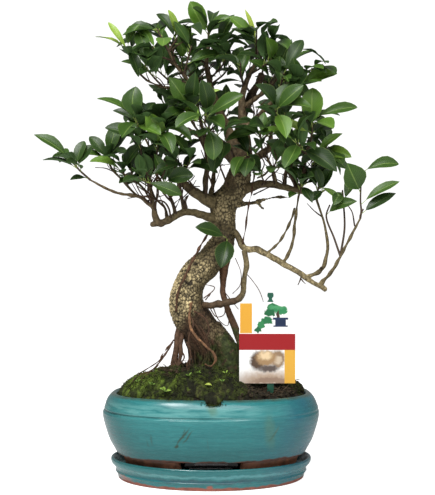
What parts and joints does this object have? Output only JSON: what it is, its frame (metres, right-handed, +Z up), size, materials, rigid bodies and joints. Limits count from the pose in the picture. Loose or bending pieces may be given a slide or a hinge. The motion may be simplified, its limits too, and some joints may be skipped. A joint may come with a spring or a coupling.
{
  "type": "potted bonsai tree",
  "caption": "Small indoor bonsai with a winding trunk, hanging roots and whorled glossy leaves, in an oval glazed pot with feet on a matching saucer, with a picture label on a stake.",
  "frame": {"origin": "centre of the saucer's underside", "axes": "+Z up, the pot's long axis along X, its front towards -Y"},
  "size_m": [0.3956, 0.2211, 0.5255],
  "materials": {
    "glaze": "glossy turquoise glaze with darker blue pooling, unglazed terracotta foot",
    "mesh_plastic": "matt",
    "card": null,
    "stake_plastic": "moulded green",
    "bark": "dark olive-brown bark with pale raised pores",
    "root_bark": "reddish brown, rough",
    "soil": "crumbly damp peat",
    "moss": "soft, tufted",
    "leaf": "glossy, leathery"
  },
  "bodies": {
    "root": {"saucer": "glaze", "pot": "glaze", "drain_mesh_left": "mesh_plastic", "drain_mesh_right": "mesh_plastic", "label_card": "card", "label_stake": "stake_plastic", "trunk": "bark", "leader_left": "bark", "leader_right": "bark", "low_left_branch": "bark", "upper_left_branch": "bark", "right_branch": "bark", "low_right_branch": "bark", "back_left_branch": "bark", "back_right_branch": "bark", "aerial_root_centre": "root_bark", "aerial_root_hook": "root_bark", "left_roots": "root_bark", "curled_root": "root_bark", "dark_root": "root_bark", "upper_aerial_root": "root_bark", "soil": "soil", "moss_left": "moss", "moss_front": "moss", "moss_right": "moss", "leaves_far_left": "leaf", "leaves_left_low": "leaf", "leaves_left_mid": "leaf", "leaves_left_inner": "leaf", "leaves_left_hollow": "leaf", "leaves_left_hang": "leaf", "leaves_left_high": "leaf", "leaves_centre": "leaf", "leaves_inner_back": "leaf", "leaves_left_back": "leaf", "leaves_upper_far_left": "leaf", "leaves_upper_left": "leaf", "leaves_upper_left_back": "leaf", "leaves_top_centre": "leaf", "leaves_top_right": "leaf", "leaves_right_top": "leaf", "leaves_right_high": "leaf", "leaves_right_mid": "leaf", "leaves_right_low": "leaf", "leaves_right_back": "leaf", "leaves_right_inner": "leaf", "leaves_right_centre": "leaf", "leaves_far_right": "leaf", "leaves_right_small": "leaf", "leaves_right_drop": "leaf", "leaves_right_pale": "leaf", "leaves_back_top": "leaf", "leaves_back_left_high": "leaf", "leaves_back_left": "leaf", "leaves_back_right_high": "leaf", "leaves_back_right": "leaf", "leaves_centre_front": "leaf", "leaves_front_right": "leaf", "leaves_trunk_shoot": "leaf"}
  },
  "joints": []
}
